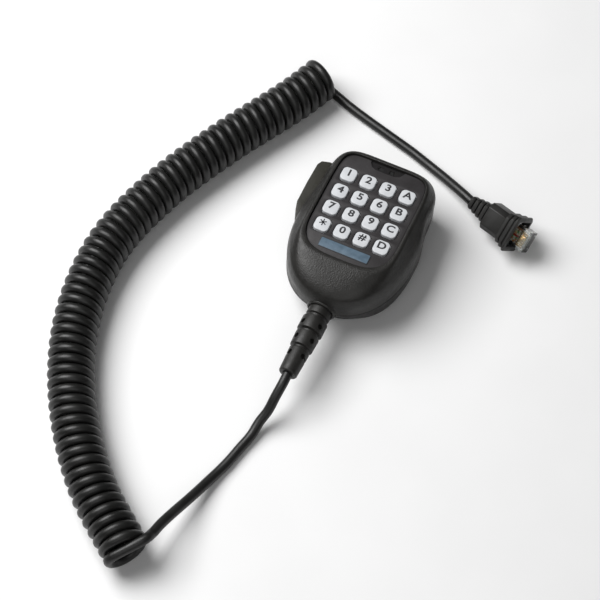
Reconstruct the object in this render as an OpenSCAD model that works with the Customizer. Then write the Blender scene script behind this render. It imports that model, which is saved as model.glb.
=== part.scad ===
// Hand microphone with keypad, push-to-talk bar, curly cord and modular plug.
// The origin is the middle of the hang-up button's head, on the plane that the microphone rests on.
// +X is to the right of the keypad, +Y towards the microphone's top, +Z out of the keypad.

/* [Body] */
// Full width across the lower half
body_w = 65; // [64:0.5:66]
// Distance from the keypad's middle to the top end
body_top = 35; // [35:0.1:35.6]
// Distance from the keypad's middle to the cord end
body_bottom = 52.4; // [52:0.1:53]
// Height of the rim round the face panel
rim_z = 36.2; // [36.1:0.1:36.6]
// Height of the joint between the two covers
parting_z = 18; // [18:0.1:18.2]
// Height of the rear face behind the keypad
back_z = 7.5; // [7.3:0.1:7.6]
// Wall thickness of the covers
wall = 2.2; // [2:0.1:2.4]

/* [Face panel] */
// Half width of the panel
panel_half_w = 23.5; // [23.2:0.1:23.8]
// Height of the panel's front face
panel_z = 34.9; // [34.7:0.1:35]
// Thickness of the panel
panel_t = 1.2; // [1:0.1:1.2]

/* [Keys] */
// Distance between neighbouring keys
key_pitch = 10.7; // [10.6:0.1:11]
// Width of a key's cap
key_size = 7.8; // [7.4:0.1:8]
// Corner radius of a key's cap
key_corner = 2.3; // [1.9:0.1:2.5]
// Gap between a cap and its hole
key_gap = 0.5; // [0.4:0.05:0.6]
// Height of the caps' top faces
key_top_z = 36; // [35.8:0.1:36.2]

/* [Push to talk] */
// Thickness of the bar, from back to front
ptt_h = 13.5; // [13:0.1:13.6]
// Radius of the hinge pin
ptt_pin_r = 1; // [0.9:0.1:1.1]
// Running clearance round the hinge pin
pin_clear = 0.05; // [0.02:0.01:0.1]

/* [Hang-up button] */
// Radius of the button's head
hang_head_r = 7.5; // [7:0.5:8]
// Thickness of the head
hang_head_t = 2.8; // [2.4:0.1:3]
// Radius of the neck
hang_neck_r = 4; // [3.5:0.5:4.5]

/* [Cord] */
// Diameter of the cord
cord_d = 5; // [5:0.1:5]
// Outer diameter of the curly part
coil_d = 23.7; // [23.7:0.1:23.7]
// Sides of the straight leads
cord_sides = 12; // [8:2:12]

/* [Plug] */
// Width of the modular plug
plug_w = 11.68; // [11.6:0.01:11.7]
// Thickness of the modular plug
plug_h = 6.6; // [6.5:0.1:6.7]
// Length of the modular plug
plug_len = 21.5; // [21.4:0.1:21.6]

/* [Hidden] */
e = 0.01;

// --- covers -------------------------------------------------------------------------------------
mid_y = -8;            // height of the widest section along Y
waist = [-6, 14];      // the head narrows between these two heights
outline_points = 96;
half_w = body_w / 2;
// Sections of the covers: height, half width, top, bottom, squareness of top and bottom, narrowing
front_sections = [
    [parting_z, half_w - 0.1, body_top, body_bottom - 0.1, 5.5, 2.2, 0.1],
    [22, half_w, body_top + 0.1, body_bottom, 5.5, 2.15, 0.1],
    [25, half_w - 0.3, body_top, body_bottom - 0.4, 5.5, 2.2, 0.085],
    [28, half_w - 1.5, body_top - 0.4, body_bottom - 1.6, 5.5, 2.3, 0.06],
    [30, half_w - 2.8, body_top - 0.9, body_bottom - 3.1, 5.6, 2.45, 0.035],
    [32, half_w - 4.2, body_top - 1.7, body_bottom - 6.4, 5.7, 2.7, 0.01],
    [34, half_w - 5.6, body_top - 2.7, body_bottom - 11.4, 5.8, 3.2, 0],
    [35.4, half_w - 6.5, body_top - 3.6, body_bottom - 16.2, 5.9, 3.7, 0],
    [rim_z, half_w - 7.1, body_top - 4.4, body_bottom - 19.1, 6, 4, 0]];
rear_sections = [
    [back_z, half_w - 3, body_top - 3.6, body_bottom - 7.9, 5.5, 2.9, 0.1],
    [9, half_w - 1.5, body_top - 1.8, body_bottom - 5.8, 5.5, 2.7, 0.1],
    [12, half_w - 0.4, body_top - 0.6, body_bottom - 3.1, 5.5, 2.45, 0.1],
    [15, half_w - 0.2, body_top, body_bottom - 1.1, 5.5, 2.3, 0.1],
    [parting_z, half_w - 0.1, body_top, body_bottom - 0.1, 5.5, 2.2, 0.1]];
ledge_z = panel_z - panel_t;      // the panel sits on this ledge
ledge_under_z = ledge_z - 2;
floor_z = back_z + 2;             // inside face of the rear cover
case_screw_points = [[-19.5, 28.5], [19.5, 28.5], [-23, -28.5], [23, -28.5]];
board_screw_points = [[-13, 25.4], [13, 25.4], [-13, -27], [13, -27]];
case_boss_r = 2.6;
foot_centre_y = -19.5;            // the pad across the lower back is a segment of this circle
foot_r = 25;
foot_top_y = -31.5;

// --- keys ---------------------------------------------------------------------------------------
key_names = ["key_1", "key_2", "key_3", "key_a", "key_4", "key_5", "key_6", "key_b",
    "key_7", "key_8", "key_9", "key_c", "key_star", "key_0", "key_hash", "key_d"];
flange_z = 32.4;
flange_t = 1;
flange_size = 10;
stem_z = 31.2;
board_z = 28;
board_t = 1.6;
mat_t = 0.6;

// --- push to talk -------------------------------------------------------------------------------
ptt_z = 11.5;
ptt_gap = 0.3;
ptt_inner_x = -23;               // the covers are cut away this far in, so that the bar can swing
ptt_outline = [[-25.5, 25.4], [-30.5, 25.2], [-34.6, 24], [-35.9, 21.5], [-36.2, 10], [-36, -3],
    [-35, -7], [-32.6, -13.5], [-31, -15.6], [-25.5, -15.6]];
ptt_pivot = [-28.2, -13.2];
switch_y = 12;
switch_z = 21;

// --- cord ---------------------------------------------------------------------------------------
boot_z = parting_z;
coil_z = coil_d / 2 + 0.05;
// Middle line of the lead from the microphone to the top of the curly part's first turn
mic_lead_route = [[0, -91, 18], [0, -96, 17.3], [-1, -103, 13.5], [-2, -109, 9], [-4, -115, 5.5],
    [-5, -122, 3.2], [-7, -130, 2.6], [-9, -139, 2.6], [-11, -146, 2.9], [-13, -153, 4],
    [-15, -161, 6], [-17, -169, 8.6], [-19, -177, 11.5], [-21, -186, 14.6], [-22, -193, 17],
    [-24, -199, 19.3], [-26, -203, 20.8]];
// Middle line of the curly part, seen from above
coil_route = [[-28, -206], [-62, -180], [-90, -146], [-109, -106], [-115, -62], [-106, -20],
    [-89, 20], [-69, 58], [-59, 81]];
// Middle line of the lead from the bottom of the curly part's last turn to the plug
plug_lead_route = [[-56, 81, 2.6], [-50, 78, 2.6], [-42, 75, 2.6], [-34, 72.4, 2.6], [-27, 70.3, 2.6],
    [-19, 68, 2.6], [-12, 66, 2.6], [-5, 64, 2.6], [1.5, 62, 2.7], [8.5, 59.4, 3], [15.5, 56.6, 3.7],
    [22, 53.7, 4.8], [28.7, 50.3, 6.4], [35.5, 46.8, 8], [41.8, 43.5, 9]];

// --- plug ---------------------------------------------------------------------------------------
plug_at = [41.8, 43.5, 9];        // middle of the boot's cord end
plug_turn = [42, -6, -19.5];      // roll, pitch and heading of the plug
neck_len = 12.6;
body_len = 11.4;
collar_len = 7.5;
plug_x = 17.6;                    // rear face of the modular plug, along the boot
contact_pitch = 1.02;
plug_lanes = [-3.5:1:3.5];
latch_x = plug_x + plug_len - 1.6;
latch_z = -plug_h / 2 - 0.85;
latch_slope = 9;

// --- shapes that repeat -------------------------------------------------------------------------
function ease(t) = let (u = max(0, min(1, t))) u * u * (3 - 2 * u);

// Point at angle a of an egg-shaped outline with squarish top corners
function egg(a, w, top, bottom, n_top, n_bottom, narrow) =
    let (c = cos(a), s = sin(a), upper = s >= 0, n = upper ? n_top : n_bottom,
        h = upper ? top - mid_y : bottom + mid_y,
        r = 1 / pow(pow(abs(c) / w, n) + pow(abs(s) / h, n), 1 / n), y = mid_y + r * s)
    [r * c * (1 - narrow * ease((y - waist[0]) / (waist[1] - waist[0]))), y];

// One value of a cover's section table at height z
function section_value(sections, z, i) = lookup(z, [for (s = sections) [s[0], s[i]]]);

// Ring of points at height z, with the shape of the section at height from, moved inwards
function cover_ring(sections, z, from, inset) = [for (i = [0:outline_points - 1])
    let (p = egg(i * 360 / outline_points,
        section_value(sections, from, 1) - inset, section_value(sections, from, 2) - inset,
        section_value(sections, from, 3) - inset, section_value(sections, from, 4),
        section_value(sections, from, 5), section_value(sections, from, 6)))
    [p[0], p[1], z]];

// Solid through a stack of rings with the same number of points
module skin(rings) {
    n = len(rings[0]);
    m = len(rings);
    points = [for (r = rings) each r];
    sides = [for (j = [0:m - 2], i = [0:n - 1]) let (k = (i + 1) % n)
        each [[j * n + i, (j + 1) * n + i, (j + 1) * n + k], [j * n + i, (j + 1) * n + k, j * n + k]]];
    ends = [[for (i = [0:n - 1]) i], [for (i = [n - 1:-1:0]) (m - 1) * n + i]];
    polyhedron(points, concat(sides, ends));
}

module panel_outline(inset) {
    polygon([for (i = [0:outline_points - 1])
        egg(i * 360 / outline_points, panel_half_w - inset, 29.2 - inset, 30.8 - inset, 8, 3.4, 0)]);
}

module rounded_square(size, r) {
    square([size, size - 2 * r], center = true);
    square([size - 2 * r, size], center = true);
    for (x = [-1, 1], y = [-1, 1]) translate([x * (size / 2 - r), y * (size / 2 - r)]) circle(r, $fn = 48);
}

module at_points(points) {
    for (p = points) translate([p[0], p[1], 0]) children();
}

// Round bar along +Z from z0 to z1
module rod(r, z0, z1) {
    translate([0, 0, z0]) cylinder(r = r, h = z1 - z0, $fn = 64);
}

// Profile of [radius, distance] points turned about the strain relief's axis, towards -Y
module turned_along_cord(profile) {
    translate([0, 0, boot_z]) rotate([90, 0, 0]) rotate_extrude($fn = 96) polygon(profile);
}

function key_x(i) = (i % 4 - 1.5) * key_pitch;
function key_y(i) = (1.5 - floor(i / 4)) * key_pitch;

// --- covers -------------------------------------------------------------------------------------
module front_shell() {
    difference() {
        skin([for (s = front_sections) cover_ring(front_sections, s[0], s[0], 0)]);
        skin([for (z = [parting_z - 0.1, 21, 24, 27, 29, 30.5, ledge_under_z])
            cover_ring(front_sections, z, z + 2, wall)]);
    }
}

module cord_lip() {
    turned_along_cord([[4.9, 46], [8.8, 46], [8.2, 49.5], [7.6, 52], [7.2, 52.7], [6.5, 52.7],
        [6.5, 51.5], [4.9, 51.5]]);
}

// Hole for the strain relief's neck, with a pocket behind it for its flange
module boot_opening() {
    translate([0, 0, boot_z]) rotate([90, 0, 0]) {
        rod(5.1, 40, 60);
        rod(7.9, 44, 50);
    }
}

// Opening in the left side for the push-to-talk bar
module ptt_opening() {
    translate([-50, -16.1, ptt_z - ptt_gap]) cube([50 + ptt_inner_x, 42.1, ptt_h + 2 * ptt_gap]);
}

module half_space(z, up) {
    translate([-60, -80, up ? z : z - 60]) cube([120, 160, 60]);
}

module front_cover() color([0.13, 0.13, 0.13]) {
    difference() {
        union() {
            front_shell();
            intersection() {
                cord_lip();
                half_space(parting_z, true);
            }
            intersection() {
                at_points(case_screw_points) rod(case_boss_r, parting_z, ledge_z);
                skin([for (s = front_sections) cover_ring(front_sections, s[0], s[0], 0.6)]);
            }
            at_points(board_screw_points) rod(2.2, board_z + board_t, ledge_z);
            intersection() {
                translate([ptt_pivot[0], ptt_pivot[1], 0]) rod(2.4, ptt_z + ptt_h + ptt_gap, 29.8);
                skin([for (s = front_sections) cover_ring(front_sections, s[0], s[0], 0.6)]);
            }
        }
        translate([0, 0, ledge_z]) linear_extrude(10) panel_outline(-0.1);
        translate([-21.8, -22.4, ledge_under_z - 1]) cube([43.6, 44.8, 10]);
        translate([0, 25.5, 0]) rod(4.5, ledge_under_z - 3, ledge_z + 1);
        at_points(case_screw_points) rod(1.22, parting_z - 1, 28);
        at_points(board_screw_points) rod(0.82, board_z, ledge_z - 0.6);
        ptt_opening();
        translate([ptt_pivot[0], ptt_pivot[1], 0]) rod(ptt_pin_r + 0.03, parting_z, 29.1);
        boot_opening();
    }
}

module foot_outline(inset) {
    intersection() {
        translate([-40, -60]) square([80, 60 + foot_top_y - inset]);
        translate([0, foot_centre_y]) circle(foot_r - inset, $fn = 180);
    }
}

module rear_cover() color([0.1, 0.1, 0.1]) {
    difference() {
        union() {
            difference() {
                union() {
                    skin([for (s = rear_sections) cover_ring(rear_sections, s[0], s[0], 0)]);
                    linear_extrude(9.6) foot_outline(0);
                }
                skin([for (z = [floor_z, 10.5, 12, 15, parting_z + 0.1])
                    cover_ring(rear_sections, z, z - 1.8, wall)]);
                translate([0, 0, 2.2]) linear_extrude(9) foot_outline(3);
            }
            intersection() {
                cord_lip();
                half_space(parting_z, false);
            }
            at_points(case_screw_points) rod(3.4, floor_z - 1, parting_z - e);
            translate([ptt_pivot[0], ptt_pivot[1], 0]) rod(2.2, floor_z - 1, ptt_z - ptt_gap);
            rod(6.2, floor_z - 1, 12);
            for (x = [-6.5, 6.5]) translate([x, -42, 0]) rod(2.2, floor_z - 1, 15.2);
        }
        at_points(case_screw_points) {
            rod(2.6, back_z - 1, 10.1);
            rod(1.35, back_z, parting_z + 1);
        }
        ptt_opening();
        translate([ptt_pivot[0], ptt_pivot[1], 0]) rod(ptt_pin_r + 0.03, 8.8, parting_z);
        rod(3.05, back_z - 1, 13);
        for (x = [-6.5, 6.5]) translate([x, -42, 0]) rod(0.82, 8.6, 16);
        boot_opening();
    }
}

// --- face ---------------------------------------------------------------------------------------
module face_panel() color([0.2, 0.2, 0.2]) {
    difference() {
        translate([0, 0, ledge_z]) linear_extrude(panel_t) panel_outline(0.1);
        for (i = [0:15]) translate([key_x(i), key_y(i), ledge_z - 1])
            linear_extrude(3) rounded_square(key_size + 2 * key_gap, key_corner + key_gap);
        translate([0, 0, panel_z - 0.8]) linear_extrude(2)
            polygon([[-9.4, 30], [-9, 28], [-7.6, 25.8], [-5.2, 24.7], [5.2, 24.7], [7.6, 25.8],
                [9, 28], [9.4, 30]]);
        for (x = [-3.2, 3.2]) translate([x - 1.6, 25.8, ledge_z - 1]) cube([3.2, 2, 3]);
    }
}

module label_strip() color([0.35, 0.42, 0.5]) {
    translate([-13.4, -27.7, panel_z]) cube([26.8, 5.5, 0.25]);
}

// --- keys ---------------------------------------------------------------------------------------
module key_cap(i) color([0.85, 0.86, 0.87]) translate([key_x(i), key_y(i), 0]) {
    translate([0, 0, flange_z + flange_t - e]) linear_extrude(key_top_z - flange_z - flange_t)
        rounded_square(key_size, key_corner);
    translate([0, 0, flange_z]) linear_extrude(flange_t) rounded_square(flange_size, 2.6);
    rod(1.5, stem_z, flange_z + e);
}

module keypad_mat() color([0.3, 0.3, 0.32]) {
    difference() {
        union() {
            translate([-21.2, -21.2, board_z + board_t]) cube([42.4, 42.4, mat_t]);
            for (i = [0:15]) translate([key_x(i), key_y(i), 0]) rod(3.8, board_z + board_t, 31.4);
        }
        for (i = [0:15]) translate([key_x(i), key_y(i), 0]) rod(2.8, board_z + board_t + mat_t, 32);
    }
}

// --- circuit ------------------------------------------------------------------------------------
module circuit_board() color([0.1, 0.35, 0.2]) {
    difference() {
        translate([-21.5, -34, board_z]) cube([43, 61.6, board_t]);
        at_points(case_screw_points) rod(3.3, board_z - 1, board_z + 3);
        at_points(board_screw_points) rod(1.1, board_z - 1, board_z + 3);
        translate([-5.6, 20.9, board_z - 1]) cube([11.2, 10, 4]);
    }
}

module board_chips() color([0.05, 0.05, 0.05]) {
    translate([-9, -3, board_z - 1.8]) cube([10, 10, 1.8]);
    translate([6, -14, board_z - 1.5]) cube([7, 5, 1.5]);
    translate([-12, -20, board_z - 3]) cube([9, 4, 3]);
    translate([8, 8, 0]) rod(3, board_z - 6, board_z);
}

module board_screws() color([0.75, 0.75, 0.77]) at_points(board_screw_points) {
    rod(0.78, board_z - e, ledge_z - 0.8);
    rod(1.8, board_z - 1.3, board_z);
}

module mic_capsule() color([0.7, 0.7, 0.7]) translate([0, 25.5, 0]) rod(3, 29.2, 32.8);

module capsule_holder() color([0.08, 0.08, 0.08]) translate([0, 25.5, 0]) {
    difference() {
        rod(4.2, 28.4, 33.15);
        rod(3.04, 29.2, 34);
    }
}

module dust_felt() color([0.2, 0.2, 0.2]) translate([0, 25.5, 0]) rod(4.2, 33.2, ledge_z - 0.05);

// --- push to talk -------------------------------------------------------------------------------
module ptt_button() color([0.16, 0.16, 0.15]) {
    difference() {
        union() {
            translate([0, 0, ptt_z]) linear_extrude(ptt_h) polygon(ptt_outline);
            translate([-26, switch_y, switch_z]) rotate([0, 90, 0]) cylinder(r = 1.6, h = 1.8, $fn = 64);
        }
        translate([-33.4, -4, ptt_z - 1]) cube([6.2, 25.5, ptt_h - 0.8]);
        translate([ptt_pivot[0], ptt_pivot[1], 0]) rod(ptt_pin_r + pin_clear, 0, 40);
    }
}

module ptt_pin() color([0.75, 0.75, 0.77]) {
    translate([ptt_pivot[0], ptt_pivot[1], 0]) rod(ptt_pin_r, 8.9, 29);
}

module ptt_switch() color([0.06, 0.06, 0.06]) {
    difference() {
        translate([-21.6, switch_y - 3, switch_z - 2.5]) cube([5, 6, board_z - switch_z + 2.5]);
        translate([-22, switch_y, switch_z]) rotate([0, 90, 0]) cylinder(r = 1.25, h = 4, $fn = 64);
    }
}

module switch_plunger() color([0.8, 0.78, 0.7]) {
    translate([-23.9, switch_y, switch_z]) rotate([0, 90, 0]) cylinder(r = 1.2, h = 4.2, $fn = 64);
}

// --- fasteners and the hang-up button -----------------------------------------------------------
module hang_button() color([0.6, 0.6, 0.62]) {
    difference() {
        union() {
            rod(hang_head_r, 0, hang_head_t);
            rod(hang_neck_r, hang_head_t - e, back_z);
            rod(3, back_z - e, 12);
        }
        rod(1.5, 4, 13);
    }
}

module hang_screw() color([0.75, 0.75, 0.77]) {
    rod(1.46, 4.5, 12 + e);
    rod(3.6, 12, 13.6);
}

module case_screws() color([0.3, 0.3, 0.3]) at_points(case_screw_points) {
    difference() {
        rod(2.3, 8.2, 10.1);
        for (a = [0, 90]) rotate([0, 0, a]) translate([-1.4, -0.3, 8]) cube([2.8, 0.6, 1]);
    }
    rod(1.18, 10.1 - e, 26.5);
}

module cable_clamp() color([0.5, 0.5, 0.5]) {
    difference() {
        translate([-9.2, -44.2, 15.3]) cube([18.4, 4.4, 7.2]);
        translate([0, 0, boot_z]) rotate([90, 0, 0]) rod(2.52, 38, 47);
        for (x = [-1, 1]) translate([x * 8 - 3.2, -44.5, 17]) cube([6.4, 5, 8]);
        for (x = [-6.5, 6.5]) translate([x, -42, 0]) rod(0.95, 14, 19);
    }
}

module clamp_screws() color([0.75, 0.75, 0.77]) for (x = [-6.5, 6.5]) translate([x, -42, 0]) {
    rod(0.78, 9, 17 + e);
    rod(1.5, 17, 18.2);
}

module cord_socket() color([0.85, 0.85, 0.8]) {
    difference() {
        translate([-7, -33.5, board_z - 6]) cube([14, 5, 6]);
        translate([-6, -34.5, board_z - 5.2]) cube([12, 4.5, 3.6]);
    }
}

// --- strain relief and cord ---------------------------------------------------------------------
module strain_relief() color([0.12, 0.12, 0.12]) {
    difference() {
        turned_along_cord([[2.48, 47.3], [7.6, 47.3], [7.6, 49.8], [5, 49.85], [5, 51.8], [6.1, 52.2],
            [6.1, 56.4], [4.9, 56.8], [4.9, 58.4], [6.6, 58.8], [6.6, 65.9], [4.8, 66.3],
            [4.8, 67.6], [6.2, 68], [5.9, 75.5], [4.4, 75.9], [4.4, 77], [5.3, 77.4],
            [4.75, 90.4], [4.4, 91], [2.48, 91]]);
        for (distance = [63, 71.6, 80.8], a = [45, 135, 225, 315])
            translate([0, -distance, boot_z]) rotate([0, a, 0]) rod(1.4, 4, 9);
        for (x = [-5.1, 5.1]) translate([x - 0.8, -82.3, boot_z - 4]) cube([1.6, 1.4, 8]);
    }
}

module cord_core() color([0.1, 0.1, 0.1]) translate([0, 0, boot_z]) rotate([90, 0, 0]) rod(2.45, 38, 91);

// Point on the smooth curve through four points
function curve_point(a, b, c, d, t) = 0.5 * (2 * b + (c - a) * t + (2 * a - 5 * b + 4 * c - d) * t * t
    + (3 * b - a - 3 * c + d) * t * t * t);

// Smooth curve through a route, with n steps between its points
function smooth(route, n) = let (m = len(route) - 1, first = 2 * route[0] - route[1],
    last = 2 * route[m] - route[m - 1], p = concat([first], route, [last]))
    [for (i = [0:m - 1], k = [0:n - 1]) curve_point(p[i], p[i + 1], p[i + 2], p[i + 3], k / n), route[m]];

function unit(v) = v / norm(v);

// Round section of radius r at point p, square to direction t, with a corner straight below p
function cord_ring(p, t, r, sides) = let (side = unit(cross(t, [0, 0, 1])), up = cross(side, t))
    [for (i = [0:sides - 1]) let (a = i * 360 / sides) p + r * (side * sin(a) - up * cos(a))];

function direction(line, i, first, last) = i == 0 ? first : i == len(line) - 1 ? last
    : unit(line[i + 1] - line[i - 1]);

// Tube along a line of points, square to the two given directions at its ends
module tube(line, r, sides, first, last) {
    skin([for (i = [0:len(line) - 1]) cord_ring(line[i], direction(line, i, first, last), r, sides)]);
}

plug_direction = [cos(plug_turn[2]) * cos(plug_turn[1]), sin(plug_turn[2]) * cos(plug_turn[1]),
    -sin(plug_turn[1])];

module cord_lead_mic() color([0.1, 0.1, 0.1]) {
    line = smooth(mic_lead_route, 1);
    m = len(line) - 1;
    tube(line, cord_d / 2, cord_sides, [0, -1, 0], unit(line[m] - line[m - 1]));
}

module cord_coil() color([0.11, 0.11, 0.11]) {
    flat = smooth(coil_route, 4);
    m = len(flat) - 1;
    out_a = unit(flat[0] - flat[1]) * cord_d / 2;
    out_b = unit(flat[m] - flat[m - 1]) * cord_d / 2;
    ends = concat([flat[0] + out_a], [for (i = [1:m - 1]) flat[i]], [flat[m] + out_b]);
    line = [for (p = ends) [p[0], p[1], coil_z]];
    tube(line, coil_d / 2, 16, unit(line[1] - line[0]), unit(line[m] - line[m - 1]));
}

module cord_lead_plug() color([0.1, 0.1, 0.1]) {
    line = smooth(plug_lead_route, 1);
    tube(line, cord_d / 2, cord_sides, unit(line[1] - line[0]), plug_direction);
}

// --- plug ---------------------------------------------------------------------------------------
// Places what is drawn along +X at the plug's place
module at_plug() {
    translate(plug_at) rotate([0, 0, plug_turn[2]]) rotate([0, plug_turn[1], 0])
        rotate([plug_turn[0], 0, 0]) children();
}

// Upright outline across the plug's axis, drawn in Y and Z, extruded from x0 to x1
module along_plug(x0, x1) {
    translate([x0, 0, 0]) rotate([90, 0, 90]) linear_extrude(x1 - x0) children();
}

module cut_corner_rect(w, h, c) {
    polygon([[-w / 2 + c, -h / 2], [w / 2 - c, -h / 2], [w / 2, -h / 2 + c], [w / 2, h / 2 - c],
        [w / 2 - c, h / 2], [-w / 2 + c, h / 2], [-w / 2, h / 2 - c], [-w / 2, -h / 2 + c]]);
}

module plug_boot() color([0.09, 0.09, 0.09]) at_plug() {
    neck_end = neck_len + e;
    body_end = neck_len + body_len;
    difference() {
        union() {
            rotate([0, 90, 0]) rotate_extrude($fn = 96) polygon([[0, 0], [3.6, 0], [3.9, 0.6],
                [3.9, 2.4], [3.5, 2.8], [3.5, 3.4], [4.6, 3.7], [4.6, 5.4], [4.1, 5.7], [4.1, 6.3],
                [5.2, 6.6], [5.2, 8.4], [4.7, 8.7], [4.7, 9.3], [5.8, 9.6], [5.8, neck_end],
                [0, neck_end]]);
            along_plug(neck_len, body_end) cut_corner_rect(15, 13.4, 2.6);
            along_plug(body_end - e, body_end + 2.2) cut_corner_rect(17, 15, 2.6);
            along_plug(body_end + 2.1, body_end + 3.2) cut_corner_rect(15.8, 13.8, 2.4);
            along_plug(body_end + 3.1, body_end + 5.2) cut_corner_rect(18.6, 16.2, 2.4);
            along_plug(body_end + 5.1, body_end + 6) cut_corner_rect(17.4, 15, 2.2);
            along_plug(body_end + 5.9, body_end + collar_len) cut_corner_rect(20, 17.4, 2);
        }
        along_plug(plug_x, 50) translate([0, -0.9]) square([plug_w + 0.1, 9], center = true);
        along_plug(body_end + 1, 50) translate([0, -0.5]) square([14.6, 13], center = true);
    }
}

module plug_body() color([0.85, 0.87, 0.88, 0.5]) at_plug() {
    front = plug_x + plug_len;
    difference() {
        along_plug(plug_x, front) translate([-plug_w / 2, -plug_h / 2]) square([plug_w, plug_h]);
        for (i = plug_lanes) translate([front - 5.5, i * contact_pitch - 0.28, 0.4])
            cube([4.2, 0.56, 6]);
        translate([plug_x - 1, -4.5, -0.8]) cube([plug_len - 3, 9, 1.2]);
        translate([plug_x + 6.5, -4.6, 1.8]) cube([2.2, 9.2, 4]);
    }
    difference() {
        translate([latch_x - 1, -4.4, latch_z - 0.9]) cube([2, 8.8, -plug_h / 2 - latch_z + 1]);
        translate([latch_x - 2, -3.4, latch_z - 2]) cube([4, 6.8, -plug_h / 2 - latch_z + 2]);
        translate([latch_x, 0, latch_z]) rotate([90, 0, 0]) cylinder(r = 0.55, h = 12, center = true, $fn = 48);
    }
}

module plug_contacts() color([0.83, 0.66, 0.25]) at_plug() for (i = plug_lanes)
    translate([plug_x + plug_len - 5, i * contact_pitch - 0.22, 0.44]) cube([3.2, 0.44, 2.6]);

module plug_wires() color([0.9, 0.75, 0.55]) at_plug() for (i = plug_lanes)
    translate([plug_x + 0.6, i * contact_pitch, -0.2]) rotate([0, 90, 0])
        cylinder(r = 0.46, h = plug_len - 5.2, $fn = 32);

module plug_latch() color([0.85, 0.87, 0.88, 0.5]) at_plug() translate([latch_x, 0, latch_z]) {
    rotate([90, 0, 0]) cylinder(r = 0.5, h = 8.4, center = true, $fn = 48);
    rotate([0, -latch_slope, 0]) {
        translate([-7, -3.1, -0.5]) cube([7, 6.2, 1]);
        translate([-12, -1.6, -0.5]) cube([5.1, 3.2, 1]);
    }
}

front_cover();
rear_cover();
face_panel();
label_strip();
key_cap(0);  // key_1
key_cap(1);  // key_2
key_cap(2);  // key_3
key_cap(3);  // key_a
key_cap(4);  // key_4
key_cap(5);  // key_5
key_cap(6);  // key_6
key_cap(7);  // key_b
key_cap(8);  // key_7
key_cap(9);  // key_8
key_cap(10);  // key_9
key_cap(11);  // key_c
key_cap(12);  // key_star
key_cap(13);  // key_0
key_cap(14);  // key_hash
key_cap(15);  // key_d
keypad_mat();
circuit_board();
board_chips();
board_screws();
ptt_button();
ptt_pin();
ptt_switch();
switch_plunger();
mic_capsule();
capsule_holder();
dust_felt();
hang_button();
hang_screw();
case_screws();
cable_clamp();
clamp_screws();
cord_socket();
cord_core();
strain_relief();
cord_lead_mic();
cord_coil();
cord_lead_plug();
plug_boot();
plug_body();
plug_contacts();
plug_wires();
plug_latch();
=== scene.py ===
"""Looks of the hand microphone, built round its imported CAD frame. Shapes are written in millimetres."""

import math

import bpy
from mathutils import Matrix, Vector


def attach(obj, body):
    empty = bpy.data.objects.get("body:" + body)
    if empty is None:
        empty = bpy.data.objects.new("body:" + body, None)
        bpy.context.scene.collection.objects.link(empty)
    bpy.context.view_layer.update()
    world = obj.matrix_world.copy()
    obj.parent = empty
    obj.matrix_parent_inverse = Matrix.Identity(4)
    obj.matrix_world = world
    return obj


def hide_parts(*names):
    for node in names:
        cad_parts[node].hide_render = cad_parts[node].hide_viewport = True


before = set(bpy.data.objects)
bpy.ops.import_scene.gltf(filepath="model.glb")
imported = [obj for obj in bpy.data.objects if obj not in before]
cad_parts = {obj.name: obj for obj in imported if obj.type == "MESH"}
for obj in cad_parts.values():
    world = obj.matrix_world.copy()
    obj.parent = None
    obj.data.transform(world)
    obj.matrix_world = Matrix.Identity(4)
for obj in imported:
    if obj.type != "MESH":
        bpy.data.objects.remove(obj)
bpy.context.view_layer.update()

MM = 0.001
HOUSING = "housing"


# --- shapes ---------------------------------------------------------------------------------------
def link(name, data, material=None):
    """New object in the scene, with one material."""
    obj = bpy.data.objects.new(name, data)
    bpy.context.scene.collection.objects.link(obj)
    if material:
        data.materials.append(material)
    return obj


def solid(name, points, faces, material=None):
    """Mesh object from points in mm."""
    mesh = bpy.data.meshes.new(name)
    mesh.from_pydata([tuple(c * MM for c in p) for p in points], [], faces)
    mesh.update()
    return link(name, mesh, material)


def loft(name, rings, material=None, closed=False):
    """Skin through rings with the same number of points. A closed one joins its last ring to its first."""
    count, size = len(rings), len(rings[0])
    faces = []
    for j in range(count if closed else count - 1):
        a, b = j * size, (j + 1) % count * size
        for i in range(size):
            k = (i + 1) % size
            faces.append((a + i, a + k, b + k, b + i))
    if not closed:
        faces.append(tuple(range(size - 1, -1, -1)))
        faces.append(tuple((count - 1) * size + i for i in range(size)))
    obj = solid(name, [p for ring in rings for p in ring], faces, material)
    face_outwards(obj)
    return obj


def face_outwards(obj):
    """Turns a closed mesh's faces so that its volume is positive."""
    volume = 0.0
    points = obj.data.vertices
    for face in obj.data.polygons:
        a = points[face.vertices[0]].co
        for i in range(1, len(face.vertices) - 1):
            volume += a.dot(points[face.vertices[i]].co.cross(points[face.vertices[i + 1]].co))
    if volume < 0:
        obj.data.flip_normals()


def smooth_shading(obj, angle=35):
    """Smooth faces, with edges sharper than the angle left crisp."""
    obj.data.shade_smooth()
    obj.data.set_sharp_from_angle(angle=math.radians(angle))


def carve(obj, cutter, operation="DIFFERENCE"):
    """Cuts or joins another mesh, which is used up."""
    material = obj.data.materials[0] if obj.data.materials else None
    modifier = obj.modifiers.new("carve", "BOOLEAN")
    modifier.operation, modifier.solver, modifier.object = operation, "EXACT", cutter
    bpy.context.view_layer.update()
    graph = bpy.context.evaluated_depsgraph_get()
    mesh = bpy.data.meshes.new_from_object(obj.evaluated_get(graph))
    obj.modifiers.clear()
    obj.data = mesh
    mesh.materials.clear()
    mesh.materials.append(material)
    bpy.data.objects.remove(cutter)


def joined(name, objects):
    """One mesh object from several meshes, which are used up."""
    points, faces = [], []
    for obj in objects:
        start = len(points)
        points += [obj.matrix_world @ v.co / MM for v in obj.data.vertices]
        faces += [tuple(start + i for i in f.vertices) for f in obj.data.polygons]
        bpy.data.objects.remove(obj)
    return solid(name, points, faces)


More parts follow.
